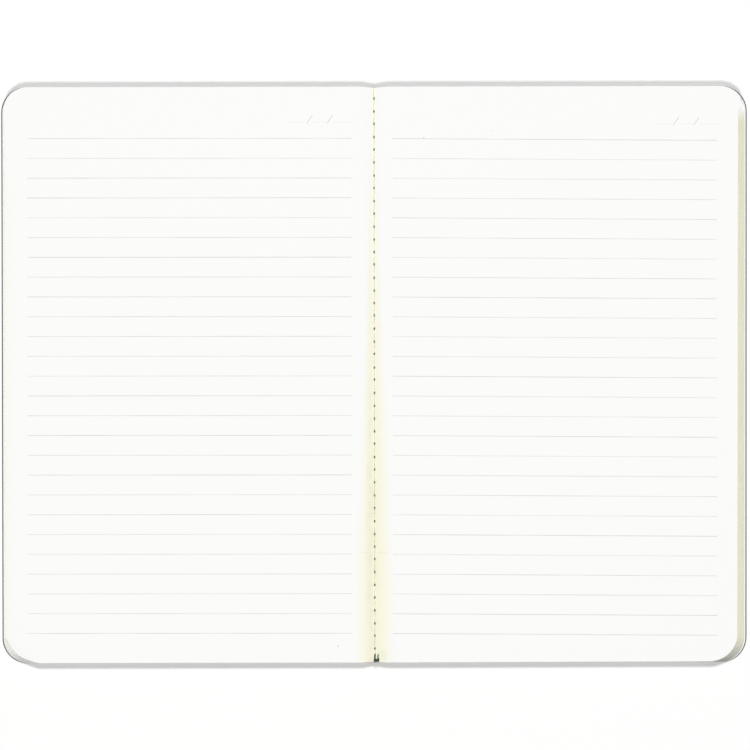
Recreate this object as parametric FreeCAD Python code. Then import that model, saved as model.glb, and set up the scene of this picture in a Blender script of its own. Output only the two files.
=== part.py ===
import FreeCAD, Part
import math
import os

# An open ruled notebook with a soft card cover, sewn through the fold, lying face up.
# Lengths are in millimetres. X runs across the spread, Y to the head of the pages, Z up.
# The origin is on the table, under the middle of the fold.

# Outline of the spread
page_height = 206.5
cover_panel_width = 133.7
corner_radius = 9.0

# Card cover
cover_thickness = 0.35
cover_to_pages_gap = 0.05
spine_arch_rise = 0.42

# Leaves: they lie loose away from the fold and are pressed tight under the stitches
leaves_per_side = 20
loose_leaf_pitch = 0.12
sewn_leaf_pitch = 0.069
lowest_leaf_inset = 0.4
left_leaf_step = 0.045
right_leaf_step = 0.155

# Fold: a narrow strip lies flat under the seam, and the leaves curve up from it
sewn_strip_half_width = 0.7
fold_zone_half_width = 6.0
fold_half_gap = 0.05

# Lock stitch seam
thread_diameter = 0.22
thread_sides = 6
thread_clearance = 0.03
thread_to_paper_gap = 0.07
thread_to_table_gap = 0.06
stitch_pitch = 4.59
first_stitch_from_head = 4.2
last_stitch_margin = 4.0
stitch_skew_deg = 60.0
lock_below_inner_run = 0.08

# The two cut ends of the outer thread, at the tail of the seam
tail_hole_from_edge = 0.9
tail_end_reach = 1.95
near_tip_from_fold = -0.1
far_turn_from_fold = 0.85
far_tip_from_fold = 1.0

# Levels and places that follow from the sizes above
half_height = page_height / 2
pages_bottom_flat = cover_thickness + cover_to_pages_gap
pages_top_flat = pages_bottom_flat + leaves_per_side * loose_leaf_pitch
pages_bottom_fold = spine_arch_rise + cover_thickness + cover_to_pages_gap
pages_top_fold = pages_bottom_fold + leaves_per_side * sewn_leaf_pitch
lowest_leaf_width = cover_panel_width - lowest_leaf_inset
cut_margin = 1.0

seam_length = page_height - first_stitch_from_head - last_stitch_margin
stitch_count = int(seam_length / stitch_pitch) + 1
hole_places = [half_height - first_stitch_from_head - i * stitch_pitch for i in range(stitch_count)]
tail_hole_place = -half_height + tail_hole_from_edge
tail_tip_place = tail_hole_place + tail_end_reach

# The two strands of each hook lie on a line skewed to the seam, one way for the inner thread
# and the other way for the outer one, so that each strand passes beside the other's bend
thread_radius = thread_diameter / 2
thread_spacing = thread_diameter + thread_clearance
strand_offset = thread_spacing / math.sin(math.radians(2 * stitch_skew_deg))
strand_x = strand_offset * math.cos(math.radians(stitch_skew_deg))
strand_y = strand_offset * math.sin(math.radians(stitch_skew_deg))
needle_hole_half_width = strand_x + thread_radius + thread_clearance
needle_hole_shoulder = strand_y + thread_radius + thread_clearance
needle_hole_tip = needle_hole_shoulder + needle_hole_half_width * math.tan(math.radians(30))

# The outer thread is pulled up through the holes, so its bends show in the valley of the fold
inner_run_level = pages_top_fold + thread_to_paper_gap + thread_radius
outer_run_level = thread_to_table_gap + thread_radius
outer_bend_level = inner_run_level - lock_below_inner_run
inner_bend_level = outer_bend_level - thread_spacing


def vector(x, y, z):
    return FreeCAD.Vector(x, y, z)


def fold_height(x, flat, at_fold):
    """Height of a surface that lies at one level in the sewn strip and at another past the fold."""
    inside = min(max(x, sewn_strip_half_width), fold_zone_half_width)
    share = (fold_zone_half_width - inside) / (fold_zone_half_width - sewn_strip_half_width)
    return flat + (at_fold - flat) * share ** 2


def cover_underside(x):
    return fold_height(x, 0.0, spine_arch_rise)


def cover_topside(x):
    return cover_underside(x) + cover_thickness


def pages_underside(x):
    return fold_height(x, pages_bottom_flat, pages_bottom_fold)


def pages_topside(x):
    return fold_height(x, pages_top_flat, pages_top_fold)


def section_prism(lower, upper, width):
    """Prism over the page height, from the fold out to a width, between two heights."""
    strip, zone = sewn_strip_half_width, fold_zone_half_width
    middle = (strip + zone) / 2

    def corner(x, height_at):
        return vector(x, -half_height, height_at(x))

    def line(start, end):
        return Part.LineSegment(start, end).toShape()

    edges = []
    for height_at in (lower, upper):
        edges.append(line(corner(fold_half_gap, height_at), corner(strip, height_at)))
        arc = Part.Arc(corner(strip, height_at), corner(middle, height_at), corner(zone, height_at))
        edges.append(arc.toShape())
        if width > zone:
            edges.append(line(corner(zone, height_at), corner(width, height_at)))
    edges.append(line(corner(width, lower), corner(width, upper)))
    edges.append(line(corner(fold_half_gap, upper), corner(fold_half_gap, lower)))
    wire = Part.Wire(Part.__sortEdges__(edges))
    return Part.Face(wire).extrude(vector(0, page_height, 0))


def rounded_plate(inner_x, outer_x, bottom, thickness):
    """Plate over the page height, with its two outer corners rounded."""
    r = corner_radius
    diagonal = r * (1 - math.sqrt(0.5))
    y = half_height
    outline = [
        Part.LineSegment(vector(inner_x, -y, bottom), vector(outer_x - r, -y, bottom)),
        Part.Arc(
            vector(outer_x - r, -y, bottom),
            vector(outer_x - diagonal, diagonal - y, bottom),
            vector(outer_x, r - y, bottom),
        ),
        Part.LineSegment(vector(outer_x, r - y, bottom), vector(outer_x, y - r, bottom)),
        Part.Arc(
            vector(outer_x, y - r, bottom),
            vector(outer_x - diagonal, y - diagonal, bottom),
            vector(outer_x - r, y, bottom),
        ),
        Part.LineSegment(vector(outer_x - r, y, bottom), vector(inner_x, y, bottom)),
        Part.LineSegment(vector(inner_x, y, bottom), vector(inner_x, -y, bottom)),
    ]
    wire = Part.Wire([edge.toShape() for edge in outline])
    return Part.Face(wire).extrude(vector(0, 0, thickness))


def needle_holes():
    """The row of holes that the seam needle cuts through the whole book. They are short slits
    along the fold, with one point to the head and one to the tail."""
    side, shoulder, tip = needle_hole_half_width, needle_hole_shoulder, needle_hole_tip
    outline = [(0, tip), (-side, shoulder), (-side, -shoulder), (0, -tip), (side, -shoulder), (side, shoulder)]
    corners = [vector(x, y, -cut_margin) for x, y in outline + outline[:1]]
    height = pages_top_flat + 2 * cut_margin
    punch = Part.Face(Part.makePolygon(corners)).extrude(vector(0, 0, height))
    places = hole_places + [tail_hole_place]
    return Part.makeCompound([punch.translated(vector(0, y, 0)) for y in places])


def cover_half(holes):
    """Right half of the folded card: a flat panel that arches up to the fold."""
    card = section_prism(cover_underside, cover_topside, cover_panel_width)
    height = spine_arch_rise + cover_thickness + 2 * cut_margin
    trimmed = card.common(rounded_plate(0, cover_panel_width, -cut_margin, height))
    return trimmed.cut(holes).Solids[0]


def page_half(leaf_step, holes):
    """Right half of the folded sheets, one leaf on the next, each narrower than the one below."""
    sewn = section_prism(pages_underside, pages_topside, fold_zone_half_width).cut(holes)
    leaves = []
    for i in range(leaves_per_side):
        width = lowest_leaf_width - i * leaf_step
        bottom = pages_bottom_flat + i * loose_leaf_pitch
        leaves.append(rounded_plate(fold_zone_half_width, width, bottom, loose_leaf_pitch))
    return sewn.fuse(leaves).removeSplitter().Solids[0]


def left_hand(shape):
    return shape.mirror(vector(0, 0, 0), vector(1, 0, 0))


def thread_along(points):
    """Thread of constant thickness along straight runs, mitred where they meet."""
    section = []
    for i in range(thread_sides + 1):
        angle = 2 * math.pi * i / thread_sides
        section.append(vector(thread_radius * math.cos(angle), thread_radius * math.sin(angle), 0))
    profile = Part.makePolygon(section)
    facing = FreeCAD.Rotation(vector(0, 0, 1), points[1] - points[0])
    profile.Placement = FreeCAD.Placement(points[0], facing)
    sweep = Part.BRepOffsetAPI.MakePipeShell(Part.makePolygon(points))
    sweep.add(profile, False, False)
    sweep.setTransitionMode(1)
    sweep.build()
    sweep.makeSolid()
    return sweep.shape()


def seam_points(run_level, bend_level, hand):
    """Route of one thread of the lock stitch: along the fold, and doubled back in each hole."""
    x, y = hand * strand_x, strand_y
    points = [vector(x, half_height - thread_diameter, run_level)]
    for place in hole_places:
        points.append(vector(x, place + y, run_level))
        points.append(vector(x, place + y, bend_level))
        points.append(vector(-x, place - y, bend_level))
        points.append(vector(-x, place - y, run_level))
    return points


def inner_thread():
    """Thread that lies in the valley of the fold, on the innermost sheet."""
    points = seam_points(inner_run_level, inner_bend_level, -1)
    last = points[-1]
    points.append(vector(last.x, (last.y + tail_tip_place) / 2, inner_run_level))
    return thread_along(points)


def outer_thread():
    """Thread under the spine. Its two cut ends come up at the tail and lie back in the fold."""
    points = seam_points(outer_run_level, outer_bend_level, 1)
    end_level = pages_topside(far_tip_from_fold) + thread_to_paper_gap + thread_radius
    near_foot = vector(-strand_x, tail_hole_place, outer_run_level)
    far_foot = vector(strand_x, tail_hole_place, outer_run_level)
    near_knee = vector(-strand_x, tail_hole_place, end_level)
    far_knee = vector(strand_x, tail_hole_place, end_level)
    far_turn = vector(far_turn_from_fold, tail_hole_place, end_level)
    far_tip = vector(far_tip_from_fold, tail_tip_place, end_level)
    far_points = [near_foot, far_foot, far_knee, far_turn, far_tip]
    points += [near_foot, near_knee, vector(near_tip_from_fold, tail_tip_place, end_level)]
    return thread_along(points).fuse(thread_along(far_points)).Solids[0]


holes = needle_holes()
right_cover = cover_half(holes)

nodes = {
    "front_cover": left_hand(right_cover),
    "back_cover": right_cover,
    "left_pages": left_hand(page_half(left_leaf_step, holes)),
    "right_pages": page_half(right_leaf_step, holes),
    "inner_thread": inner_thread(),
    "outer_thread": outer_thread(),
}

os.makedirs("parts", exist_ok=True)
for name, shape in nodes.items():
    shape.exportStep("parts/" + name + ".step")
    box = shape.BoundBox
    print(name, shape.isValid(), round(shape.Volume, 2), len(shape.Faces))
    print("  from", round(box.XMin, 3), round(box.YMin, 3), round(box.ZMin, 3))
    print("  to", round(box.XMax, 3), round(box.YMax, 3), round(box.ZMax, 3))
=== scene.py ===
# %% [markdown]
# # An open, sewn, ruled notebook
#
# The object is a soft-cover notebook that lies open on a pale table, seen from straight above.
# A dark card cover, twenty nested sheets of ruled paper and two sewing threads make the whole
# book. The frame gives the size and the motion of each of these. This lesson dresses it: every
# sheet becomes a real thin sheet, the card becomes one folded card, and the threads get their
# twist.

# %% Load the frame
import math
import random

import bmesh
import bpy
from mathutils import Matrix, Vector


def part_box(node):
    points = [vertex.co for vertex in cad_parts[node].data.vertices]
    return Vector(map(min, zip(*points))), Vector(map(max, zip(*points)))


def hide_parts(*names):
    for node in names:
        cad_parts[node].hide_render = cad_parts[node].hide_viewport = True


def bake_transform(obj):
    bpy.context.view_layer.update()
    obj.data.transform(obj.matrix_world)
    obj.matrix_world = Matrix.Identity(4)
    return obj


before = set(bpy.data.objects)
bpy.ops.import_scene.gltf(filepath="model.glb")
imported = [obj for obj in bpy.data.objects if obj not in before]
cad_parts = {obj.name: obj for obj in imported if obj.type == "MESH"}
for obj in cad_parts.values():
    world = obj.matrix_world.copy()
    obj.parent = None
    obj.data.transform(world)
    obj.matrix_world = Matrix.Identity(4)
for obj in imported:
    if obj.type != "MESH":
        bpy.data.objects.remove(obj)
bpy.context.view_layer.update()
MM = 0.001
print("nodes:", ", ".join(sorted(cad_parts)))

# %% [markdown]
# ## Sizes taken from the frame
#
# The lesson works in millimetres, because paper is that small. Only the lamps and the table are
# given in metres. The outline and the levels are read from the frame's own boxes, so the dressed
# book is as large as the plain one. Only what a box can't tell is written here: the thickness of
# one sheet, and how the leaves dip to the fold.

# %% Sizes
_, cover_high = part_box("back_cover")
pages_low, pages_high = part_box("right_pages")

HALF_HEIGHT = cover_high.y / MM
COVER_WIDTH = cover_high.x / MM
CORNER_RADIUS = 9.0
CARD_THICKNESS = 0.35
CARD_ARCH = cover_high.z / MM - CARD_THICKNESS

SHEET_COUNT = 20
SHEET_THICKNESS = 0.066
LOOSE_PITCH = 0.12
SEWN_PITCH = 0.069
PAGES_BOTTOM = pages_low.z / MM
PAGES_TOP = pages_high.z / MM
SEWN_BOTTOM = PAGES_BOTTOM + CARD_ARCH
LOWEST_LEAF = pages_high.x / MM
LEFT_STEP = 0.045
RIGHT_STEP = 0.155

SEWN_STRIP = 0.7
FOLD_ZONE = 6.0
BEND_REACH = 3.0
print("page height", round(2 * HALF_HEIGHT, 1), "mm, spread", round(2 * COVER_WIDTH, 1), "mm")

# %% [markdown]
# The seam is a row of needle holes, with one more hole near the tail, where the dark thread
# comes up with its two cut ends. The holes are short slits, as a stitching needle leaves them.
# The machine kept an even pitch, but the paper gave a little, so each hole is moved by a hair.

# %% The needle holes
STITCH_PITCH = 4.59
STITCH_COUNT = 44
STITCH_UNEVENNESS = 0.18
HEAD_MARGIN = 4.2
TAIL_MARGIN = 0.9
FIRST_STITCH = HALF_HEIGHT - HEAD_MARGIN
TAIL_HOLE = TAIL_MARGIN - HALF_HEIGHT
HOLE_HALF_WIDTH = 0.285
HOLE_HALF_LENGTH = 0.52
HOLE_MARGIN = SEWN_STRIP - HOLE_HALF_WIDTH
HOLE_CORNER = 0.18

draw = random.Random(7)
stitch_places = []
for i in range(STITCH_COUNT):
    uneven = draw.uniform(-STITCH_UNEVENNESS, STITCH_UNEVENNESS)
    stitch_places.append(FIRST_STITCH - i * STITCH_PITCH + uneven)
hole_places = stitch_places + [TAIL_HOLE]
print(len(hole_places), "needle holes,", STITCH_PITCH, "mm apart")

# %% [markdown]
# ## Camera
#
# The photograph is a scan, so it looks straight down with no visible perspective. A very long
# lens high above the page does the same. The book lay a tenth of a degree askew on the glass,
# and the camera is turned by that much.

# %% Camera
PICTURE_WIDTH = 268.9
LENS = 600.0
SENSOR = 36.0
CAMERA_CENTRE = (0.21, -0.16)
ASKEW_DEG = 0.1
CLIP_END = 20000.0

camera_height = PICTURE_WIDTH * LENS / SENSOR + PAGES_TOP
camera_data = bpy.data.cameras.new("scan_camera")
camera_data.lens = LENS
camera_data.sensor_width = SENSOR
camera_data.clip_end = CLIP_END * MM
camera = bpy.data.objects.new("scan_camera", camera_data)
camera.location = Vector((*CAMERA_CENTRE, camera_height)) * MM
camera.rotation_euler = (0.0, 0.0, math.radians(-ASKEW_DEG))
bpy.context.scene.collection.objects.link(camera)
bpy.context.scene.camera = camera
print("camera at", round(camera_height), "mm above the table")

# %% [markdown]
# ## Light
#
# The picture is lit along the pages: it has a narrow soft shadow below the tail edge and a
# fainter one above the head, and none at the sides. Two wide lamps, one past the head and one
# past the tail, and an even sky do the same. Each is given as a share of the light that makes
# a white card render as white, so that colours come out about as they are written.

# %% Lamps and sky
LAMP_DISTANCE = 4.0
HEAD_LAMP_WAY = (0.05, 1.0, 1.35)
TAIL_LAMP_WAY = (-0.1, -1.0, 1.45)
HEAD_LAMP_SIZE, TAIL_LAMP_SIZE = 0.9, 1.0
HEAD_LAMP_SHARE, TAIL_LAMP_SHARE = 0.53, 0.47
SKY_SHARE = 0.035
WHITE = (1.0, 1.0, 1.0, 1.0)


def add_lamp(name, toward, share, size):
    """A square lamp far off in one direction, aimed at the book."""
    direction = Vector(toward).normalized()
    data = bpy.data.lights.new(name, "AREA")
    data.size = size
    data.energy = share * math.pi**2 * LAMP_DISTANCE**2 / direction.z
    lamp = bpy.data.objects.new(name, data)
    lamp.location = direction * LAMP_DISTANCE
    lamp.rotation_euler = (-direction).to_track_quat("-Z", "Y").to_euler()
    bpy.context.scene.collection.objects.link(lamp)


add_lamp("head_lamp", HEAD_LAMP_WAY, HEAD_LAMP_SHARE, HEAD_LAMP_SIZE)
add_lamp("tail_lamp", TAIL_LAMP_WAY, TAIL_LAMP_SHARE, TAIL_LAMP_SIZE)

world = bpy.data.worlds.new("even_sky")
world.use_nodes = True
world.node_tree.nodes["Background"].inputs["Strength"].default_value = SKY_SHARE
world.node_tree.nodes["Background"].inputs["Color"].default_value = WHITE
bpy.context.scene.world = world
bpy.context.scene.view_settings.view_transform = "Standard"
whole_share = HEAD_LAMP_SHARE + TAIL_LAMP_SHARE + SKY_SHARE
print("light on the page:", round(whole_share, 3), "of what makes white render as white")

# %% [markdown]
# ## Node helpers
#
# A material is a graph of small nodes. `Graph` keeps the writing short: each call adds a node,
# links what is given and returns its output. The patterns here don't read the object's
# coordinates, because the sheets and the card bend when the book closes. They read an
# attribute, `flat_place`, that holds where each point lay in the open book, in millimetres.

# %% Graph helper
class Graph:
    """A material's node tree, with one short method for each kind of node that is used."""

    def __init__(self, name):
        self.material = bpy.data.materials.new(name)
        self.material.use_nodes = True
        self.tree = self.material.node_tree
        self.shader = self.tree.nodes["Principled BSDF"]
        place = self.tree.nodes.new("ShaderNodeAttribute")
        place.attribute_name = "flat_place"
        self.place = place.outputs["Vector"]

    def feed(self, socket, value):
        """Link another node's output to a socket, or set the socket's own value."""
        if isinstance(value, bpy.types.NodeSocket):
            self.tree.links.new(value, socket)
        else:
            socket.default_value = value

    def math(self, operation, *values):
        """One step of arithmetic on outputs or numbers."""
        node = self.tree.nodes.new("ShaderNodeMath")
        node.operation = operation
        for socket, value in zip(node.inputs, values):
            self.feed(socket, value)
        return node.outputs[0]

    def ramp(self, value, start, end, low=0.0, high=1.0):
        """A value that goes smoothly from low to high between start and end."""
        node = self.tree.nodes.new("ShaderNodeMapRange")
        node.interpolation_type = "SMOOTHSTEP"
        for socket, given in zip(node.inputs, (value, start, end, low, high)):
            self.feed(socket, given)
        return node.outputs[0]

    def noise(self, scale, detail=2.0, roughness=0.5, stretch=(1.0, 1.0, 1.0)):
        """Soft noise over the book's surface, drawn out along an axis by a factor below 1."""
        mapping = self.tree.nodes.new("ShaderNodeMapping")
        mapping.inputs["Scale"].default_value = stretch
        self.feed(mapping.inputs["Vector"], self.place)
        node = self.tree.nodes.new("ShaderNodeTexNoise")
        self.feed(node.inputs["Vector"], mapping.outputs[0])
        self.feed(node.inputs["Scale"], scale)
        self.feed(node.inputs["Detail"], detail)
        self.feed(node.inputs["Roughness"], roughness)
        return node.outputs["Fac"]

    def white_noise(self, value):
        """A number from 0 to 1 that has nothing to do with the next value's."""
        node = self.tree.nodes.new("ShaderNodeTexWhiteNoise")
        node.noise_dimensions = "1D"
        self.feed(node.inputs["W"], value)
        return node.outputs["Value"]

    def axes(self):
        """The x, y and z of a point in the open book."""
        node = self.tree.nodes.new("ShaderNodeSeparateXYZ")
        self.feed(node.inputs[0], self.place)
        return node.outputs

    def mix(self, share, first, second):
        """First colour where share is 0, second where it is 1."""
        node = self.tree.nodes.new("ShaderNodeMix")
        node.data_type = "RGBA"
        self.feed(node.inputs["Factor"], share)
        for name, colour in (("A", first), ("B", second)):
            self.feed(node.inputs[name], (*colour, 1.0) if isinstance(colour, tuple) else colour)
        for output in node.outputs:
            if output.type == "RGBA":
                return output

    def bump(self, height, distance, strength):
        """Fine relief, given to the shader as a tilt of the surface."""
        node = self.tree.nodes.new("ShaderNodeBump")
        self.feed(node.inputs["Height"], height)
        node.inputs["Distance"].default_value = distance
        node.inputs["Strength"].default_value = strength
        self.tree.links.new(node.outputs[0], self.shader.inputs["Normal"])


# %% [markdown]
# ## How the layers lie
#
# Each sheet lies flat away from the fold. Near the fold all of them are pulled down to a narrow
# sewn strip, where they are pressed tight. The height of any layer is therefore a mix of its
# flat level and its sewn level, with a share that grows as the square of the way to the fold.
# Four more small things show in the photograph. The two tail corners are thumbed: there each
# leaf is drawn in a little more than the one below, most of all on the left, where the corner
# is pressed down too. The left edge is pressed down a little. The head and tail edges are a
# little shorter right at the fold. And the side edges aren't quite square: they lean in by a
# fraction of a millimetre from the head to the tail.

# %% Height of a layer
CORNER_SAG = 0.25
CORNER_DRAW_LEFT, CORNER_DRAW_RIGHT = 1.5, 0.6
CORNER_REACH = 4.2
CORNER_AIM = Vector((0.62, 0.79)).normalized()
EDGE_SAG = 0.12
EDGE_SAG_REACH = 5.0
NOTCH_DEPTH = 0.34
NOTCH_REACH = 5.0
NOTCH_EDGE = 0.2
LEAN_LEFT, LEAN_RIGHT = 0.15, 0.4

corner_centre = Vector((LOWEST_LEAF - CORNER_RADIUS, HALF_HEIGHT - CORNER_RADIUS))
corner_tip = CORNER_AIM.dot(corner_centre) + CORNER_RADIUS
corner_start = corner_tip - CORNER_REACH


def smooth(t):
    """0 below 0, 1 above 1, and a soft step between."""
    t = min(max(t, 0.0), 1.0)
    return t * t * (3.0 - 2.0 * t)


def fold_share(x):
    """0 away from the fold, 1 in the sewn strip."""
    inside = min(max(abs(x), SEWN_STRIP), FOLD_ZONE)
    return ((FOLD_ZONE - inside) / (FOLD_ZONE - SEWN_STRIP)) ** 2


def corner_share(x, y):
    """0 away from the two tail corners, 1 at their tips."""
    return smooth((CORNER_AIM.dot(Vector((abs(x), -y))) - corner_start) / CORNER_REACH)


def stack_sag(x, y):
    """How far the top of the stack is pressed down at the left edge and its tail corner."""
    if x > 0.0:
        return 0.0
    edge = EDGE_SAG * smooth((-x - LOWEST_LEAF + EDGE_SAG_REACH) / EDGE_SAG_REACH)
    return CORNER_SAG * corner_share(x, y) + edge


def sheet_underside(index, x, y):
    """Height of the underside of a sheet. The count of sheets gives the top of the stack."""
    share = fold_share(x)
    loose = PAGES_BOTTOM + index * LOOSE_PITCH - stack_sag(x, y) * index / SHEET_COUNT
    sewn = SEWN_BOTTOM + index * SEWN_PITCH
    return loose + (sewn - loose) * share


def notched(x, y):
    """The head and tail edges of the sheets, drawn in a little at the fold."""
    if abs(y) < HALF_HEIGHT - NOTCH_EDGE:
        return y
    return math.copysign(abs(y) - NOTCH_DEPTH * smooth(1.0 - abs(x) / NOTCH_REACH), y)


def leaned(x, y):
    """The side edges of the sheets and the card, leaning in towards the tail."""
    straight = HALF_HEIGHT - CORNER_RADIUS
    share = min(max((straight - y) / (2 * straight), 0.0), 1.0)
    return x * (1.0 - share * (LEAN_LEFT if x < 0 else LEAN_RIGHT) / COVER_WIDTH)


# %% [markdown]
# ## One slab for every layer
#
# Sheets and card are the same kind of thing: a thin slab with two or four rounded corners, a
# row of needle holes and enough cuts across to curve at the fold. So one function makes a flat
# slab of unit thickness. It starts from a single face. `bevel` on the corner points rounds
# them, `bisect_plane` makes the cuts, `inset_region` and a second bevel open the holes, and one
# extrude gives it two sides. What happens to the slab afterwards is only moving its points. It
# is split into triangles while it is still flat, so that no long face can fold the wrong way,
# and a row of flat faces lies beside each curved part, so that its shading stays there.

# %% Slab
FOLD_CUTS = (0.7, 1.2, 1.8, 2.4, 3.0, 3.7, 4.5, 5.3, 6.0, 7.0)
HOLE_CELL = HOLE_HALF_LENGTH + HOLE_MARGIN
CELL_SEARCH, HOLE_SEARCH = 0.4, 0.3
CORNER_SEGMENTS = 14
SHARP_DEG = 35.0

fold_cuts = [0.0] + [side * x for x in FOLD_CUTS for side in (-1, 1)]


def cut(bm, place, direction, reach=math.inf):
    """Cut the slab across, all over or only within a distance from the fold."""
    faces = [f for f in bm.faces if abs(f.calc_center_bounds().x) < reach]
    parts = {part for f in faces for part in (f, *f.edges, *f.verts)}
    bmesh.ops.bisect_plane(bm, geom=list(parts), dist=1e-5, plane_co=place, plane_no=direction)


def near_a_hole(face, half_width, reach):
    """Whether the middle of a face lies close to the middle of a hole."""
    middle = face.calc_center_median()
    return abs(middle.x) < half_width and any(abs(middle.y - y) < reach for y in hole_places)


def open_needle_holes(bm):
    """Holes of eight corners in the middle of the sewn strip. A cell is the part of the strip
    round one hole. It is inset, and the inset's corners off the fold line are cut away."""
    for place, following in zip(hole_places, hole_places[1:]):
        cut(bm, (0, (place + following) / 2, 0), (0, 1, 0), FOLD_CUTS[-1])
    for place in hole_places:
        for y in (place - HOLE_CELL, place + HOLE_CELL):
            if abs(y) < HALF_HEIGHT:
                cut(bm, (0, y, 0), (0, 1, 0), SEWN_STRIP)
    cells = [f for f in bm.faces if near_a_hole(f, SEWN_STRIP, CELL_SEARCH)]
    bmesh.ops.inset_region(bm, faces=cells, thickness=HOLE_MARGIN, use_even_offset=True,
                           use_boundary=True)
    corners = {v for f in cells for v in f.verts if abs(v.co.x) > 0.01}
    bmesh.ops.bevel(bm, geom=list(corners), offset=HOLE_CORNER, segments=1, profile=0.5,
                    affect="VERTICES", material=-1)
    inner = [f for f in bm.faces if near_a_hole(f, HOLE_HALF_WIDTH / 1.5, HOLE_SEARCH)]
    bmesh.ops.delete(bm, geom=inner, context="FACES")


def make_slab(x_from, x_to, cuts, holes, corner_cuts=()):
    """A flat slab between two x values, from z = 0 to z = 1, rounded at its outer corners."""
    bm = bmesh.new()
    head, tail = HALF_HEIGHT, -HALF_HEIGHT
    outline = [(x_from, tail), (x_to, tail), (x_to, head), (x_from, head)]
    corners = [bm.verts.new((x, y, 0.0)) for x, y in outline]
    bm.faces.new(corners)
    outer = [v for v in corners if abs(v.co.x) > 2 * FOLD_ZONE]
    bmesh.ops.bevel(bm, geom=outer, offset=CORNER_RADIUS, segments=CORNER_SEGMENTS,
                    profile=0.5, affect="VERTICES", material=-1)
    for x in cuts:
        if x_from < x < x_to:
            cut(bm, (x, 0, 0), (1, 0, 0))
    for place in corner_cuts:
        cut(bm, place, place)
    if holes:
        open_needle_holes(bm)
    bmesh.ops.triangulate(bm, faces=bm.faces[:])
    lifted = bmesh.ops.extrude_face_region(bm, geom=bm.faces[:], use_keep_orig=True)
    for part in lifted["geom"]:
        if isinstance(part, bmesh.types.BMVert):
            part.co.z = 1.0
    bmesh.ops.recalc_face_normals(bm, faces=bm.faces[:])
    return bm


def finish_mesh(name, bm, materials, sharp_deg=SHARP_DEG):
    """Store where each point lies in the open book, mark the sharp edges and make an object."""
    for face in bm.faces:
        face.smooth = True
    for edge in bm.edges:
        edge.smooth = edge.is_manifold and edge.calc_face_angle() < math.radians(sharp_deg)
    open_edges = sum(not edge.is_manifold for edge in bm.edges)
    for vert in bm.verts:
        vert.co *= MM
    mesh = bpy.data.meshes.new(name)
    bm.to_mesh(mesh)
    bm.free()
    places = mesh.attributes.new("flat_place", "FLOAT_VECTOR", "POINT")
    places.data.foreach_set("vector", [c for v in mesh.vertices for c in v.co / MM])
    for material in materials:
        mesh.materials.append(material)
    piece = bpy.data.objects.new(name, mesh)
    bpy.context.scene.collection.objects.link(piece)
    print(name, "has", len(mesh.polygons), "faces and", open_edges, "open edges")
    return piece


# %% [markdown]
# ## Paper
#
# Writing paper is almost white and quite matt, with a fine fibre that shows only close up.
# A warm band runs down the fold, narrow at the head and wide at the tail: a warm tone of the
# paper with painted shade of the fold's valley. Just left of the fold, towards the tail, a patchy
# strip of painted shade stands for the valley's slope. The fore-edges of the leaves have a cream
# tone with painted shade of their steps, and the left edge a faint cream tone with painted shade
# of its droop. At the two tail corners the edges are greyer: painted shade of the stepped leaf
# edges. All of it is drawn from `flat_place`, as soft steps across x whose width or strength
# changes with y.

# %% Paper
PAPER_WHITE = (0.955, 0.955, 0.948)
PAPER_FIBRE_SHARE = 0.988
# A warm tone with painted shade of the fold's valley.
FOLD_TONE_AND_SHADE = (0.935, 0.918, 0.70)
# Painted shade, beside the fold and along the crease.
PAINTED_SHADE_TONE = (0.84, 0.80, 0.64)
# A cream tone with painted shade of the stepped fore-edges.
FORE_EDGE_TONE_AND_SHADE = (0.735, 0.727, 0.555)
# Painted shade at the two tail corners.
CORNER_SHADE_TONE = (0.51, 0.51, 0.485)
# A cream tone with painted shade of the drooping left edge.
LEFT_EDGE_TONE_AND_SHADE = (0.93, 0.92, 0.84)
TONE_WIDTH_AT_HEAD, TONE_WIDTH_AT_TAIL = 1.6, 8.5
TONE_STRENGTH_AT_HEAD, TONE_STRENGTH_AT_TAIL = 0.55, 0.95
TONE_CURVE = 1.25
LEFT_EDGE_STRENGTH = 0.5
LEFT_CORNER_SHADE_STRENGTH = 0.3
# Where the painted shade beside the fold is centred.
FOLD_SHADE_X = -0.9
PAPER_ROUGHNESS = 0.85
PAPER_SHINE = 0.2
PAPER_GRAIN = 0.01

# Where a soft step starts and where it ends
TONE_Y = (108.0, -98.0)
FOLD_SHADE_REACH = (0.5, 3.0)
LEFT_EDGE_X = (-133.0, -127.5)
LEFT_EDGE_Y = (100.0, 60.0)
FORE_EDGE_X = (LOWEST_LEAF - 21.0, LOWEST_LEAF - 8.0)
# Where the fore-edges' cream and painted shade fade out towards the head.
CREAM_AND_SHADE_Y = (97.0, 90.0)
# Where the painted shade at the two tail corners lies.
LEFT_CORNER_SHADE_ALONG = (corner_start + 0.3, corner_tip - 1.4)
LEFT_CORNER_SHADE_Y = (-96.0, -102.5)
RIGHT_CORNER_SHADE_Y = (-92.5, -102.0)


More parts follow.
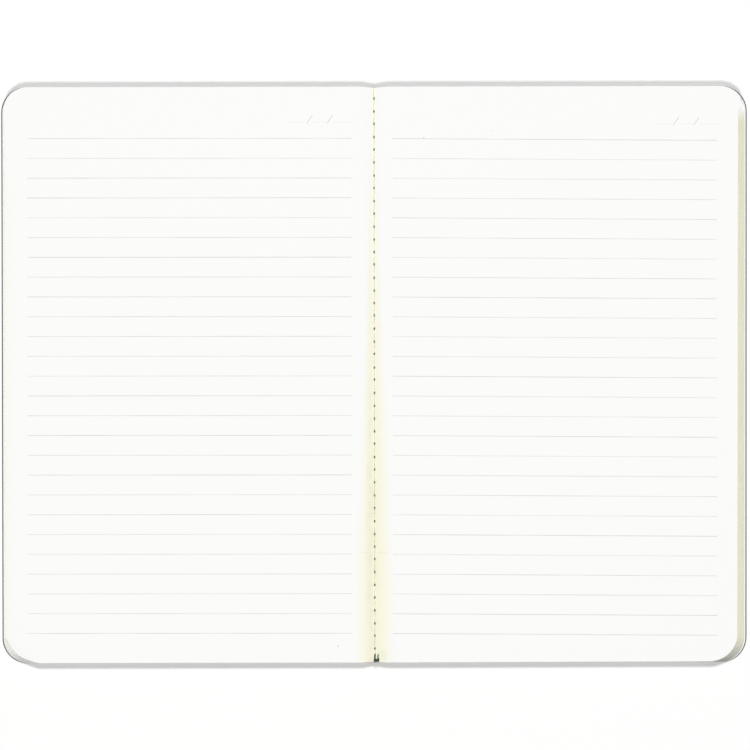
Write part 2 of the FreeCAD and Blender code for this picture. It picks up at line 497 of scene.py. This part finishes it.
def paper_colour(g, x, y):
    """White paper, with painted shade in its warm fold band, beside it, and at its cream left
    edge.
    """
    fibre = g.ramp(g.noise(3.0, 4.0, 0.65, (1.0, 0.35, 1.0)), 0.25, 0.75)
    white = g.mix(fibre, PAPER_WHITE, tuple(c * PAPER_FIBRE_SHARE for c in PAPER_WHITE))
    toward_tail = g.math("POWER", g.ramp(y, *TONE_Y), TONE_CURVE)
    widening = TONE_WIDTH_AT_TAIL - TONE_WIDTH_AT_HEAD
    width = g.math("MULTIPLY_ADD", toward_tail, widening, TONE_WIDTH_AT_HEAD)
    width = g.math("ADD", width, g.ramp(g.noise(0.05, 3.0), 0.3, 0.7, -0.3, 0.3))
    way = g.math("DIVIDE", g.math("ABSOLUTE", x), width)
    gain = TONE_STRENGTH_AT_TAIL - TONE_STRENGTH_AT_HEAD
    strength = g.math("MULTIPLY_ADD", toward_tail, gain, TONE_STRENGTH_AT_HEAD)
    # The warm band at the fold: a warm tone of the paper with painted shade of the valley.
    fold_tone_and_shade = g.math("MULTIPLY", g.ramp(way, 0.1, 1.0, 1.0, 0.0), strength)
    colour = g.mix(fold_tone_and_shade, white, FOLD_TONE_AND_SHADE)
    # A patchy strip just left of the fold, darker towards the tail: painted shade of the valley's
    # slope.
    from_fold_shade = g.math("ABSOLUTE", g.math("SUBTRACT", x, FOLD_SHADE_X))
    beside_seam = g.ramp(from_fold_shade, *FOLD_SHADE_REACH, 1.0, 0.0)
    patches = g.ramp(g.noise(0.6, 3.0, 0.6, (1.0, 0.4, 1.0)), 0.35, 0.65, 0.25, 0.9)
    painted_fold_shade = g.math("MULTIPLY", g.math("MULTIPLY", beside_seam, toward_tail), patches)
    colour = g.mix(painted_fold_shade, colour, PAINTED_SHADE_TONE)
    # The left edge: a faint cream tone with painted shade of its droop.
    left_edge = g.ramp(x, *LEFT_EDGE_X, LEFT_EDGE_STRENGTH, 0.0)
    left_edge = g.math("MULTIPLY", left_edge, g.ramp(y, *LEFT_EDGE_Y))
    return g.mix(left_edge, colour, LEFT_EDGE_TONE_AND_SHADE)


def toned_edges(g, x, y, colour):
    """Leaf fore-edges: cream tone with painted shade on the right, painted shade at the tail
    corners.
    """
    streaks = g.ramp(g.noise(5.0, 2.0, 0.5, (1.0, 0.02, 1.0)), 0.3, 0.7, 0.8, 1.0)
    # Cream tone and painted shade of the stepped fore-edges, fading out towards the head.
    fore_edge = g.ramp(x, *FORE_EDGE_X)
    cream_and_shade = g.math("MULTIPLY", fore_edge, g.ramp(y, *CREAM_AND_SHADE_Y))
    colour = g.mix(g.math("MULTIPLY", cream_and_shade, streaks), colour, FORE_EDGE_TONE_AND_SHADE)
    # Painted shade at the two tail corners, where the stepped leaf edges lie in shade.
    along = g.math("MULTIPLY", x, -CORNER_AIM.x)
    along = g.math("MULTIPLY_ADD", y, -CORNER_AIM.y, along)
    left = g.ramp(along, *LEFT_CORNER_SHADE_ALONG)
    left = g.math("MULTIPLY", left, g.ramp(y, *LEFT_CORNER_SHADE_Y, 0.0, LEFT_CORNER_SHADE_STRENGTH))
    right = g.math("MULTIPLY", fore_edge, g.ramp(y, *RIGHT_CORNER_SHADE_Y))
    patches = g.ramp(g.noise(2.5, 3.0, 0.6, (1.0, 0.4, 1.0)), 0.3, 0.7, 0.55, 1.0)
    return g.mix(g.math("MULTIPLY", g.math("MAXIMUM", left, right), patches), colour, CORNER_SHADE_TONE)


def add_paper_surface(g, colour):
    """Colour, a matt surface and a fine grain, alike on the three papers."""
    g.feed(g.shader.inputs["Base Color"], colour)
    g.shader.inputs["Roughness"].default_value = PAPER_ROUGHNESS
    g.shader.inputs["Specular IOR Level"].default_value = PAPER_SHINE
    g.bump(g.noise(6.0, 5.0, 0.7), PAPER_GRAIN * MM, 0.35)


# %% [markdown]
# ## The print
#
# Each page has twenty-six pale grey lines and, at its head, a place for a date: three short
# dotted rules with two slashes between them. Both pages carry the same print, so the pattern is
# worked out once, in a page's own coordinates: across, from the right end of the lines, and
# down, from the first line. The lines run a little downhill, more on the right page, and the
# date's place stands a little further right there.

# %% Ruling
RULING_PITCH = 7.098
RULING_COUNT = 26
RULING_LENGTH = 116.2
RULING_WIDTH = 0.27
RIGHT_LINE_NUMBERS = 50.0
LINE_WEIGHT, LINE_WEIGHT_SPREAD = 0.55, 0.3
LEFT_END, RIGHT_END = -8.2, 122.8
LEFT_TOP, RIGHT_TOP = 84.70, 84.63
LEFT_FALL, RIGHT_FALL = 0.00095, 0.0071
INK = (0.66, 0.66, 0.66)
DATE_RISE = 5.85
DATE_LEFT_SHIFT, DATE_RIGHT_SHIFT = 0.4, 0.8
DATE_RULES = ((-22.9, -17.1), (-14.4, -9.2), (-6.7, 0.0))
DATE_SLASHES = ((-16.3, -14.3), (-9.0, -7.1))
DATE_DOT_PITCH = 0.35
DATE_RULE_SOFTNESS, DATE_RULE_INK = (0.06, 0.16), 0.5
SLASH_SOFTNESS, SLASH_INK = (0.1, 0.26), 0.85
SLASH_HEIGHT = 2.9
SLASH_DROP = 0.5


def printed(g, x, y):
    """How much ink lies at a point, from 0 to 1."""
    right = g.math("GREATER_THAN", x, 0.0)
    end = g.math("MULTIPLY_ADD", right, RIGHT_END - LEFT_END, LEFT_END)
    top = g.math("MULTIPLY_ADD", right, RIGHT_TOP - LEFT_TOP, LEFT_TOP)
    fall = g.math("MULTIPLY_ADD", right, RIGHT_FALL - LEFT_FALL, LEFT_FALL)
    across = g.math("SUBTRACT", x, end)
    down = g.math("SUBTRACT", g.math("SUBTRACT", top, g.math("MULTIPLY", x, fall)), y)
    ruling = ruled_lines(g, across, down, right)
    shift = g.math("MULTIPLY_ADD", right, DATE_RIGHT_SHIFT - DATE_LEFT_SHIFT, DATE_LEFT_SHIFT)
    return g.math("MAXIMUM", ruling, date_place(g, g.math("SUBTRACT", across, shift), down))


def ruled_lines(g, across, down, right):
    """The lines of one page. Each line has a weight of its own, on the right page too."""
    line = g.math("ROUND", g.math("DIVIDE", down, RULING_PITCH))
    off = g.math("ABSOLUTE", g.math("SUBTRACT", down, g.math("MULTIPLY", line, RULING_PITCH)))
    ink = g.ramp(off, RULING_WIDTH * 0.35, RULING_WIDTH * 0.65, 1.0, 0.0)
    among = g.math("COMPARE", line, (RULING_COUNT - 1) / 2, RULING_COUNT / 2)
    along = g.math("COMPARE", across, -RULING_LENGTH / 2, RULING_LENGTH / 2)
    ink = g.math("MULTIPLY", ink, g.math("MULTIPLY", among, along))
    own = g.white_noise(g.math("MULTIPLY_ADD", right, RIGHT_LINE_NUMBERS, line))
    weight = g.math("MULTIPLY_ADD", own, LINE_WEIGHT_SPREAD, LINE_WEIGHT)
    patches = g.ramp(g.noise(0.05, 2.0, 0.5, (1.0, 3.0, 1.0)), 0.35, 0.65, 0.75, 1.15)
    return g.math("MULTIPLY", ink, g.math("MULTIPLY", weight, patches))


def date_place(g, across, down):
    """Three dotted rules and two slashes."""
    level = g.math("ABSOLUTE", g.math("ADD", down, DATE_RISE))
    dots = g.ramp(g.math("PINGPONG", across, DATE_DOT_PITCH), 0.1, 0.2, 0.2, 1.0)
    ink = g.math("MULTIPLY", g.ramp(level, *DATE_RULE_SOFTNESS, DATE_RULE_INK, 0.0), dots)
    spans = 0.0
    for start, end in DATE_RULES:
        span = g.math("COMPARE", across, (start + end) / 2, (end - start) / 2)
        spans = g.math("ADD", spans, span)
    ink = g.math("MULTIPLY", ink, spans)
    for foot, head in DATE_SLASHES:
        lean = (head - foot) / SLASH_HEIGHT
        rise = g.math("MULTIPLY_ADD", down, -1.0, SLASH_DROP - DATE_RISE)
        run = g.math("SUBTRACT", g.math("SUBTRACT", across, foot), g.math("MULTIPLY", rise, lean))
        stroke = g.ramp(g.math("ABSOLUTE", run), *SLASH_SOFTNESS, SLASH_INK, 0.0)
        inside = g.math("COMPARE", rise, SLASH_HEIGHT / 2, SLASH_HEIGHT / 2)
        ink = g.math("MAXIMUM", ink, g.math("MULTIPLY", stroke, inside))
    return ink


# %% [markdown]
# The innermost pages also have a few marks of use: three small flecks, a faint crease across
# the fold, drawn as a line of painted shade, and a green tint where the dark thread's cut ends
# rubbed off on the paper.

# %% Marks, and the three papers
FLECKS = ((17.8, 84.9, 0.55, 0.3), (42.7, 87.2, 0.3, 0.25), (-13.2, -97.4, 0.45, 0.4))
FLECK_COLOUR = (0.6, 0.6, 0.58)
FLECK_STRENGTH = 0.6
RUBBED_THREAD = (2.6, -100.6, 2.4, 2.4)
RUBBED_COLOUR = (0.74, 0.80, 0.62)
RUBBED_STRENGTH = 0.35
CREASE_Y = -63.9
CREASE_SOFTNESS = (0.05, 0.3)
CREASE_REACH = (3.0, 6.5)
CREASE_STRENGTH = 0.6


def spot(g, x, y, place, strength):
    """A soft spot: an ellipse around a place, with its half sizes."""
    middle_x, middle_y, half_x, half_y = place
    over = g.math("POWER", g.math("DIVIDE", g.math("SUBTRACT", x, middle_x), half_x), 2.0)
    up = g.math("POWER", g.math("DIVIDE", g.math("SUBTRACT", y, middle_y), half_y), 2.0)
    return g.ramp(g.math("ADD", over, up), 0.2, 1.0, strength, 0.0)


def add_marks(g, x, y, colour):
    """The crease as a line of painted shade, the flecks and the green tint."""
    # The crease is a line of painted shade across the fold.
    from_crease = g.math("ABSOLUTE", g.math("SUBTRACT", y, CREASE_Y))
    crease_shade = g.ramp(from_crease, *CREASE_SOFTNESS, CREASE_STRENGTH, 0.0)
    fading = g.ramp(g.math("ABSOLUTE", x), *CREASE_REACH, 1.0, 0.0)
    colour = g.mix(g.math("MULTIPLY", crease_shade, fading), colour, PAINTED_SHADE_TONE)
    for place in FLECKS:
        colour = g.mix(spot(g, x, y, place, FLECK_STRENGTH), colour, FLECK_COLOUR)
    return g.mix(spot(g, x, y, RUBBED_THREAD, RUBBED_STRENGTH), colour, RUBBED_COLOUR)


def make_paper(name, is_ruled, is_marked, is_toned):
    """One paper, with the print, the marks or the toned edges only where they show."""
    g = Graph(name)
    x, y, _ = g.axes()
    colour = paper_colour(g, x, y)
    if is_toned:
        colour = toned_edges(g, x, y, colour)
    if is_ruled:
        colour = g.mix(printed(g, x, y), colour, INK)
    if is_marked:
        colour = add_marks(g, x, y, colour)
    add_paper_surface(g, colour)
    return g.material


middle_paper = make_paper("middle_paper", is_ruled=True, is_marked=True, is_toned=False)
outer_paper = make_paper("outer_paper", is_ruled=True, is_marked=False, is_toned=False)
leaf_paper = make_paper("leaf_paper", is_ruled=False, is_marked=False, is_toned=True)

# %% [markdown]
# ## The sheets
#
# Twenty folded sheets lie in each other. One slab is made and copied for each sheet. A copy is
# set to its own height, point by point, and its fore-edges are moved in by the step that the
# photograph shows: hardly any on the left, about a seventh of a millimetre on the right, where
# the steps of all the leaves together make the cream band. The lowest leaf stands out a little
# more, as a paler line beside the dark card. Round the head corners the steps close up, as they
# do in the photograph. The innermost sheet, with the two pages that show, and the outermost,
# which shows when a cover is swung off, are pieces of their own, so that their print can be
# sharp.

# %% Sheets
EDGE_CUTS = (6.0, 5.0, 3.8, 2.6, 1.4)
CORNER_CUTS = 8
FIRST_RIGHT_STEP = 0.35
LEAF_UNEVENNESS = 0.03
INSET_START, INSET_REACH = 110.0, 8.0
HEAD_CORNER_START, HEAD_CORNER_REACH = 93.0, 7.5
HEAD_CORNER_CLOSING = 0.9

top_inset = (SHEET_COUNT - 1) * RIGHT_STEP
later_step = (top_inset - FIRST_RIGHT_STEP) / (SHEET_COUNT - 2)
leaf_insets = [(0.0, 0.0)]
for i in range(1, SHEET_COUNT - 1):
    uneven = draw.uniform(-LEAF_UNEVENNESS, LEAF_UNEVENNESS)
    leaf_insets.append((i * LEFT_STEP, FIRST_RIGHT_STEP + (i - 1) * later_step + uneven))
leaf_insets.append(((SHEET_COUNT - 1) * LEFT_STEP, top_inset))

x_cuts = fold_cuts + [reach - LOWEST_LEAF for reach in EDGE_CUTS]
corner_cuts = []
for step in range(1, CORNER_CUTS + 2):
    along = corner_tip - CORNER_REACH * step / CORNER_CUTS
    corner_cuts.append((-CORNER_AIM.x * along, -CORNER_AIM.y * along, 0.0))
sheet_slab = make_slab(-LOWEST_LEAF, LOWEST_LEAF, x_cuts, holes=True, corner_cuts=corner_cuts)


def place_sheet(verts, index):
    """Move a unit slab's points to where one sheet lies in the book."""
    left_inset, right_inset = leaf_insets[index]
    for vert in verts:
        x, y, side = vert.co
        inset = left_inset if x < 0 else right_inset
        closing = smooth((y - HEAD_CORNER_START) / HEAD_CORNER_REACH)
        inset *= 1.0 - HEAD_CORNER_CLOSING * closing
        draw_in = CORNER_DRAW_LEFT if x < 0 else CORNER_DRAW_RIGHT
        draw_in *= corner_share(x, y) * index / SHEET_COUNT
        z = sheet_underside(index, x, y) + side * SHEET_THICKNESS
        inset = inset * smooth((abs(x) - INSET_START) / INSET_REACH) + CORNER_AIM.x * draw_in
        across = leaned(x - math.copysign(inset, x), y)
        vert.co = (across, notched(x, y) + CORNER_AIM.y * draw_in, z)


def make_sheets(name, indices, material):
    """One piece of one or more sheets, each a copy of the slab."""
    bm = bmesh.new()
    for index in indices:
        mesh = bpy.data.meshes.new("slab")
        sheet_slab.to_mesh(mesh)
        before = set(bm.verts)
        bm.from_mesh(mesh)
        bpy.data.meshes.remove(mesh)
        place_sheet([v for v in bm.verts if v not in before], index)
    return finish_mesh(name, bm, [material])


outer_sheet = make_sheets("outer_sheet", [0], outer_paper)
nested_sheets = make_sheets("nested_sheets", range(1, SHEET_COUNT - 1), leaf_paper)
middle_sheet = make_sheets("middle_sheet", [SHEET_COUNT - 1], middle_paper)
sheet_slab.free()
for sheets in (outer_sheet, nested_sheets, middle_sheet):
    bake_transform(sheets)
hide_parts("left_pages", "right_pages")

# %% [markdown]
# ## The card cover
#
# The cover is one card, folded at the spine and sewn through with the sheets. The frame swings
# its two halves on hinges of their own, so the card is made in three lengths that meet edge to
# edge: a front panel, a back panel and the sewn spine between them. The spine has the same cuts
# across the fold and needle holes as the sheets, and each panel has close cuts in a narrow strip
# just past the spine. Only a dark line of the card is seen past the leaves.

# %% Card
CARD_COLOUR = (0.085, 0.085, 0.08)
CARD_FIBRE = (0.135, 0.135, 0.127)
CUT_COLOUR = (0.17, 0.17, 0.16)
CARD_ROUGHNESS = (0.55, 0.72)
CARD_GRAIN = 0.04
CARD_NOTCH_SHARE = 0.8
HINGE_FROM, HINGE_TO = 3.1, 4.7
HINGE_CUTS = 12


def make_card_material(name, colour, fibre_colour):
    """Uncoated dark card: fine fibres in two tones, a soft grain and a low sheen."""
    g = Graph(name)
    fibres = g.noise(2.2, 5.0, 0.7, (1.0, 0.3, 1.0))
    flecks = g.noise(9.0, 2.0)
    share = g.math("MULTIPLY", g.ramp(fibres, 0.42, 0.75), g.ramp(flecks, 0.35, 0.7, 0.4, 1.0))
    g.feed(g.shader.inputs["Base Color"], g.mix(share, colour, fibre_colour))
    rubbed = g.ramp(g.noise(0.06, 3.0), 0.35, 0.7, *CARD_ROUGHNESS)
    g.feed(g.shader.inputs["Roughness"], rubbed)
    g.bump(g.math("ADD", fibres, g.math("MULTIPLY", flecks, 0.4)), CARD_GRAIN * MM, 0.5)
    return g.material


def card_underside(x):
    """The card lies on the table, and arches up under the fold."""
    return CARD_ARCH * fold_share(x)


def make_card(name, x_from, x_to, cuts, holes):
    """One length of the card, with its cut sides in the second material."""
    bm = make_slab(x_from, x_to, cuts, holes)
    for face in bm.faces:
        face.material_index = 1 if abs(face.normal.z) < 0.5 else 0
    for vert in bm.verts:
        x, y, side = vert.co
        y += (notched(x, y) - y) * CARD_NOTCH_SHARE
        vert.co = (leaned(x, y), y, card_underside(x) + side * CARD_THICKNESS)
    return finish_mesh(name, bm, [card_face, card_edge])


card_face = make_card_material("dark_card", CARD_COLOUR, CARD_FIBRE)
card_edge = make_card_material("cut_card_edge", CUT_COLOUR, CARD_FIBRE)
panel_cuts = [HINGE_FROM + (HINGE_TO - HINGE_FROM) * i / HINGE_CUTS for i in range(HINGE_CUTS + 1)]
panel_cuts += [x for x in FOLD_CUTS if x > HINGE_TO]
front_cuts = [-x for x in panel_cuts]
spine_card = make_card("spine_card", -BEND_REACH, BEND_REACH, fold_cuts, holes=True)
back_card = make_card("back_card", BEND_REACH, COVER_WIDTH, panel_cuts, holes=False)
front_card = make_card("front_card", -COVER_WIDTH, -BEND_REACH, front_cuts, holes=False)

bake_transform(spine_card)
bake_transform(back_card)
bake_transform(front_card)
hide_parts("back_cover")
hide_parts("front_cover")

# %% [markdown]
# ## The two threads
#
# A lock stitch has two threads. The pale one runs along the valley of the fold and dips into
# each hole. The dark one runs under the spine, comes up through each hole and hooks round the
# pale one; its bends are the dark dots down the fold. Both follow the same routes as in the
# frame, as lists of turning points.

# %% Routes of the threads
THREAD_RADIUS = 0.11
STRAND_GAP = 0.03
PAPER_GAP = 0.07
TABLE_GAP = 0.06
LOCK_DROP = 0.08
SEAM_START = HALF_HEIGHT - 0.4
SKEW = math.radians(60.0)
STRAND_OFFSET = (2 * THREAD_RADIUS + STRAND_GAP) / math.sin(2 * SKEW)
STRAND_X = STRAND_OFFSET * math.cos(SKEW)
STRAND_Y = STRAND_OFFSET * math.sin(SKEW)
TAIL_END_REACH = 1.95
NEAR_TIP, FAR_TURN, FAR_TIP = -0.1, 0.85, 1.0

sewn_top = SEWN_BOTTOM + SHEET_COUNT * SEWN_PITCH
inner_run = sewn_top + PAPER_GAP + THREAD_RADIUS
outer_run = TABLE_GAP + THREAD_RADIUS
outer_bend = inner_run - LOCK_DROP
inner_bend = outer_bend - 2 * THREAD_RADIUS - STRAND_GAP
tip_place = TAIL_HOLE + TAIL_END_REACH
end_level = sheet_underside(SHEET_COUNT, FAR_TIP, 0.0) + PAPER_GAP + THREAD_RADIUS


def seam_route(run, bend, hand):
    """Along the fold, and doubled back in each hole."""
    x, y = hand * STRAND_X, STRAND_Y
    points = [Vector((x, SEAM_START, run))]
    for place in stitch_places:
        points.append(Vector((x, place + y, run)))
        points.append(Vector((x, place + y, bend)))
        points.append(Vector((-x, place - y, bend)))
        points.append(Vector((-x, place - y, run)))
    return points


inner_route = seam_route(inner_run, inner_bend, -1)
inner_route.append(Vector((inner_route[-1].x, (inner_route[-1].y + tip_place) / 2, inner_run)))
outer_route = seam_route(outer_run, outer_bend, 1)
outer_route.append(Vector((-STRAND_X, TAIL_HOLE, outer_run)))
outer_route.append(Vector((-STRAND_X, TAIL_HOLE, end_level)))
outer_route.append(Vector((NEAR_TIP, tip_place, end_level)))
tail_route = [
    Vector((-STRAND_X, TAIL_HOLE, outer_run)),
    Vector((STRAND_X, TAIL_HOLE, outer_run)),
    Vector((STRAND_X, TAIL_HOLE, end_level)),
    Vector((FAR_TURN, TAIL_HOLE, end_level)),
    Vector((FAR_TIP, tip_place, end_level)),
]
print("points in each route:", len(inner_route), len(outer_route), len(tail_route))

# %% [markdown]
# The two cut ends have come undone: loose fibres loop from one to the other and hang a little
# over the tail edge, as a small dark tuft. A seeded draw gives each fibre its own way.

# %% Routes of the loose fibres
FIBRE_COUNT = 13
TUFT_BEND = TAIL_HOLE - 0.3
TUFT_LEFT, TUFT_RIGHT = -0.35, 1.6


def loose_fibre():
    """From beside the near tip, round past the tail hole, to beside the far tip."""
    level = end_level + draw.uniform(0.0, 0.16)
    bend = TUFT_BEND + draw.uniform(-0.5, 0.5)
    left, right = NEAR_TIP + draw.uniform(-0.15, 0.35), FAR_TIP + draw.uniform(-0.1, 0.4)
    near_y, far_y = tip_place + draw.uniform(-0.6, 0.4), tip_place + draw.uniform(-0.7, 0.3)
    return [
        Vector((left, near_y, level)),
        Vector((left + draw.uniform(-0.1, 0.1), bend + 0.8, level)),
        Vector((TUFT_LEFT + draw.uniform(-0.1, 0.5), bend + draw.uniform(-0.2, 0.2), level)),
        Vector((TUFT_RIGHT + draw.uniform(-0.5, 0.1), bend + draw.uniform(-0.1, 0.3), level)),
        Vector((right + draw.uniform(-0.1, 0.1), bend + 0.8, level)),
        Vector((right, far_y, level)),
    ]


# %% [markdown]
# Sewing thread is twisted from three plies. A helix of its own for each ply looks right from
# close up, where a bumped tube would not. So each ply is a thin curve that winds round the
# route, and the curve's own bevel gives it a round section. The curve is then made a mesh, and
# its caps are welded to it.

# %% Plies
PLY_COUNT = 3
PLY_RADIUS = 0.055
PLY_LAY = 0.9
PLY_STEP = 0.16
TURN_RADIUS = 0.12
TURN_SHARE = 0.45
FRAY_REACH = 1.5
FRAY_SPREAD = 0.05
THREAD_SHARP_DEG = 80.0
WELD_DISTANCE = 0.001


def rounded_route(points):
    """The route as points close together, with its turns rounded."""
    soft = [points[0]]
    for before, point, after in zip(points, points[1:], points[2:]):
        back, ahead = before - point, after - point
        radius = min(TURN_RADIUS, TURN_SHARE * back.length, TURN_SHARE * ahead.length)
        start, end = point + back.normalized() * radius, point + ahead.normalized() * radius
        soft += [start, (start + end + 2 * point) / 4, end]
    soft.append(points[-1])
    path = [soft[0]]
    for a, b in zip(soft, soft[1:]):
        count = max(1, round((b - a).length / PLY_STEP))
        path += [a.lerp(b, i / count) for i in range(1, count + 1)]
    return path


def add_plies(curve, path):
    """Wind each ply round the path, on a frame that is carried along without twisting. Towards
    the cut end the plies spread apart."""
    across = Vector((1.0, 0.0, 0.0))
    travelled = 0.0
    splines = [[] for _ in range(PLY_COUNT)]
    for i, point in enumerate(path):
        tangent = (path[min(i + 1, len(path) - 1)] - path[max(i - 1, 0)]).normalized()
        across = (across - tangent * across.dot(tangent)).normalized()
        other = tangent.cross(across)
        travelled += (point - path[max(i - 1, 0)]).length
        spread = FRAY_SPREAD * smooth(1.0 - (point - path[-1]).length / FRAY_REACH)
        for ply in range(PLY_COUNT):
            angle = 2 * math.pi * (travelled / PLY_LAY + ply / PLY_COUNT)
            out = across * math.cos(angle) + other * math.sin(angle)
            splines[ply].append(point + out * (PLY_RADIUS + spread))
    for points in splines:
        add_spline(curve, points)


def add_spline(curve, points):
    """One strand of a curve, straight from point to point."""
    spline = curve.splines.new("POLY")
    spline.points.add(len(points) - 1)
    for target, point in zip(spline.points, points):
        target.co = (*(point * MM), 1.0)


def make_thread(name, routes, fibres, material):
    """One thread as a closed mesh: its routes wound from plies, and its loose fibres."""
    curve = bpy.data.curves.new(name, "CURVE")
    curve.dimensions = "3D"
    curve.bevel_depth = PLY_RADIUS * MM
    curve.bevel_resolution = 1
    curve.use_fill_caps = True
    for route in routes:
        add_plies(curve, rounded_route(route))
    for route in fibres:
        add_spline(curve, rounded_route(route))
    holder = bpy.data.objects.new(name + "_curve", curve)
    bpy.context.scene.collection.objects.link(holder)
    bpy.context.view_layer.update()
    graph = bpy.context.evaluated_depsgraph_get()
    shape = bpy.data.meshes.new_from_object(holder.evaluated_get(graph))
    bpy.data.objects.remove(holder)
    bm = bmesh.new()
    bm.from_mesh(shape)
    bpy.data.meshes.remove(shape)
    for vert in bm.verts:
        vert.co /= MM
    bmesh.ops.remove_doubles(bm, verts=bm.verts[:], dist=WELD_DISTANCE)
    bmesh.ops.recalc_face_normals(bm, faces=bm.faces[:])
    return finish_mesh(name, bm, [material], sharp_deg=THREAD_SHARP_DEG)


# %% [markdown]
# The yarn is matt and a little uneven: paler fibres stand out of a darker ply. A trace of sheen
# gives it the soft edge of cotton. Lint and dust have settled on some stitches more than on
# others, so each stitch draws its own share of a third, paler tone, down to the tuft.

# %% Yarn, and the threads made of it
PALE_YARN = ((0.74, 0.73, 0.57), (0.90, 0.89, 0.77), (0.60, 0.58, 0.47))
DARK_YARN = ((0.034, 0.056, 0.030), (0.082, 0.124, 0.07), (0.48, 0.50, 0.40))
DUST_FROM_Y = (-99.0, -97.0)
YARN_ROUGHNESS = 0.8
YARN_SHEEN = 0.25
YARN_GRAIN = 0.02


def make_yarn(name, colour, pale, lint):
    """Yarn of two tones, with a third for the lint and dust that lie on it."""
    g = Graph(name)
    _, y, _ = g.axes()
    fibres = g.noise(14.0, 4.0, 0.7)
    yarn = g.mix(g.ramp(fibres, 0.35, 0.75), colour, pale)
    down = g.math("DIVIDE", g.math("SUBTRACT", FIRST_STITCH, y), STITCH_PITCH)
    dust = g.ramp(g.white_noise(g.math("ROUND", down)), 0.0, 0.75, 0.1, 0.95)
    dust = g.math("MULTIPLY", dust, g.ramp(y, *DUST_FROM_Y))
    g.feed(g.shader.inputs["Base Color"], g.mix(dust, yarn, lint))
    g.shader.inputs["Roughness"].default_value = YARN_ROUGHNESS
    g.shader.inputs["Sheen Weight"].default_value = YARN_SHEEN
    g.bump(fibres, YARN_GRAIN * MM, 0.6)
    return g.material


pale_yarn = make_yarn("pale_yarn", *PALE_YARN)
dark_yarn = make_yarn("dark_yarn", *DARK_YARN)
loose_fibres = [loose_fibre() for _ in range(FIBRE_COUNT)]
valley_thread = make_thread("valley_thread", [inner_route], [], pale_yarn)
spine_thread = make_thread("spine_thread", [outer_route, tail_route], loose_fibres, dark_yarn)
for thread, node, slot in ((valley_thread, "inner_thread", "pale_thread"),
                           (spine_thread, "outer_thread", "dark_thread")):
    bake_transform(thread)
    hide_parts(node)

# %% [markdown]
# ## The table
#
# The background is plain white and keeps the book's shadow. A large white floor would also
# throw much light back at the book's edges and fill that shadow. So the floor is white where
# the camera sees it, and a mid grey for the light that bounces off it.

# %% Floor
FLOOR_HALF = 1.5
FLOOR_SEEN = (0.985, 0.985, 0.98, 1.0)
FLOOR_BOUNCE = (0.25, 0.25, 0.25, 1.0)
FLOOR_ROUGHNESS = 0.9


def make_floor_paint():
    """White where it is seen, also in a mirror or through glass, and grey for the rest."""
    paint = bpy.data.materials.new("white_floor")
    paint.use_nodes = True
    tree = paint.node_tree
    path = tree.nodes.new("ShaderNodeLightPath")
    seen = path.outputs["Is Camera Ray"]
    for ray in ("Is Glossy Ray", "Is Transmission Ray"):
        either = tree.nodes.new("ShaderNodeMath")
        either.operation = "MAXIMUM"
        tree.links.new(seen, either.inputs[0])
        tree.links.new(path.outputs[ray], either.inputs[1])
        seen = either.outputs[0]
    colour = tree.nodes.new("ShaderNodeMixRGB")
    colour.inputs["Color1"].default_value = FLOOR_BOUNCE
    colour.inputs["Color2"].default_value = FLOOR_SEEN
    tree.links.new(seen, colour.inputs["Fac"])
    shader = tree.nodes["Principled BSDF"]
    tree.links.new(colour.outputs[0], shader.inputs["Base Color"])
    shader.inputs["Roughness"].default_value = FLOOR_ROUGHNESS
    return paint


bm = bmesh.new()
bmesh.ops.create_grid(bm, x_segments=1, y_segments=1, size=FLOOR_HALF)
floor_mesh = bpy.data.meshes.new("floor")
bm.to_mesh(floor_mesh)
bm.free()
floor_mesh.materials.append(make_floor_paint())
floor = bpy.data.objects.new("floor", floor_mesh)
bpy.context.scene.collection.objects.link(floor)
print("floor of", 2 * FLOOR_HALF, "m each way")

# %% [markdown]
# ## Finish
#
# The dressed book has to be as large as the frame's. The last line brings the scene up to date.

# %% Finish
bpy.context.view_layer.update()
